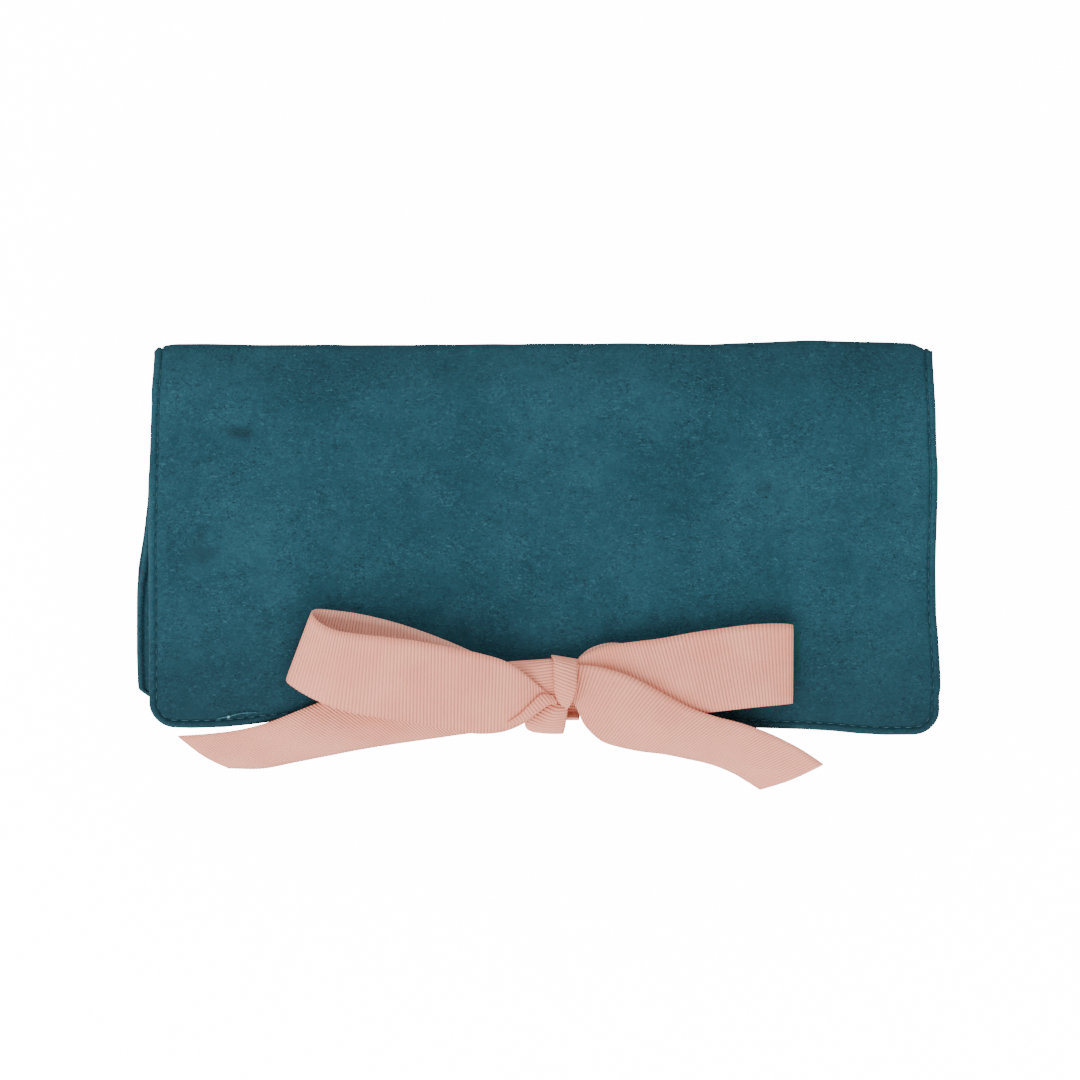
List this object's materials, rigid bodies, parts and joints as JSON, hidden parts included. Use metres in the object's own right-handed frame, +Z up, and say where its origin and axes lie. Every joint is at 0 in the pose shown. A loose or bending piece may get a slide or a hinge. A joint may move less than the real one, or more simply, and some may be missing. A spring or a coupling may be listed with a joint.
{
  "type": "jewelry roll",
  "caption": "Padded velvet jewelry roll, folded shut and tied with a ribbon bow. It opens at a soft spine onto a zip pocket, a ring bar and a slip pocket.",
  "frame": {"origin": "the middle of the back half's underside, on the table", "axes": "+X along the fold, +Y from the free edges to the fold, +Z up from the table"},
  "size_m": [0.2446, 0.1371, 0.0452],
  "materials": {
    "velvet": "short pile velvet, mottled, dark teal",
    "wadding": "soft wadding, hidden",
    "lining": "satin, soft sheen",
    "zip_tape": "woven tape",
    "ribbon": "grosgrain, fine ribs across its width",
    "metal_trim": "polished, satin highlights"
  },
  "bodies": {
    "back": {"back_cover": "velvet", "back_padding": "wadding", "back_lining": "lining", "zip_pocket_panel": "lining", "zip_tape_upper": "zip_tape", "zip_tape_lower": "zip_tape", "zip_chain": "metal_trim", "zip_stop_left": "metal_trim", "zip_stop_right": "metal_trim", "ring_bar": "velvet", "ring_bar_anchor_strap": "velvet", "popper_stud": "metal_trim", "back_tie": "ribbon"},
    "slider": {"zip_slider": "metal_trim"},
    "puller": {"zip_puller": "metal_trim"},
    "tab": {"popper_tab": "velvet", "popper_cap": "metal_trim"},
    "spine": {"spine_cover": "velvet", "spine_padding": "wadding", "spine_lining": "lining"},
    "flap": {"flap_cover": "velvet", "flap_padding": "wadding", "flap_lining": "lining", "slip_pocket_panel": "lining", "slip_pocket_binding": "ribbon"},
    "bow": {"bow_knot_core": "ribbon", "bow_knot_wrap": "ribbon", "bow_knot_fold": "ribbon", "bow_left_loop": "ribbon", "bow_right_loop": "ribbon", "bow_left_tail": "ribbon", "bow_right_tail": "ribbon", "bow_front_strand": "ribbon", "flap_tie": "ribbon"}
  },
  "joints": [
    {"name": "spine_fold", "type": "hinge", "parent": "back", "child": "spine", "pos_m": [0, 0.0564, 0.0026], "axis": [-1, 0, 0], "range_deg": [0, 90]},
    {"name": "flap_fold", "type": "hinge", "parent": "spine", "child": "flap", "pos_m": [0, 0.0564, 0.0218], "axis": [-1, 0, 0], "range_deg": [0, 90]},
    {"name": "bow_lift", "type": "hinge", "parent": "flap", "child": "bow", "pos_m": [0.006, -0.0597, 0.0218], "axis": [1, 0, 0], "range_deg": [0, 10]},
    {"name": "zip_slide", "type": "slide", "parent": "back", "child": "slider", "axis": [1, 0, 0], "range_m": [0, 0.175]},
    {"name": "puller_flip", "type": "hinge", "parent": "slider", "child": "puller", "pos_m": [-0.0863, -0.0035, 0.01395], "axis": [0, -1, 0], "range_deg": [0, 20]},
    {"name": "popper_tab_lift", "type": "hinge", "parent": "back", "child": "tab", "pos_m": [0.0638, 0.0294, 0.0076], "axis": [0, -1, 0], "range_deg": [0, 35]}
  ]
}
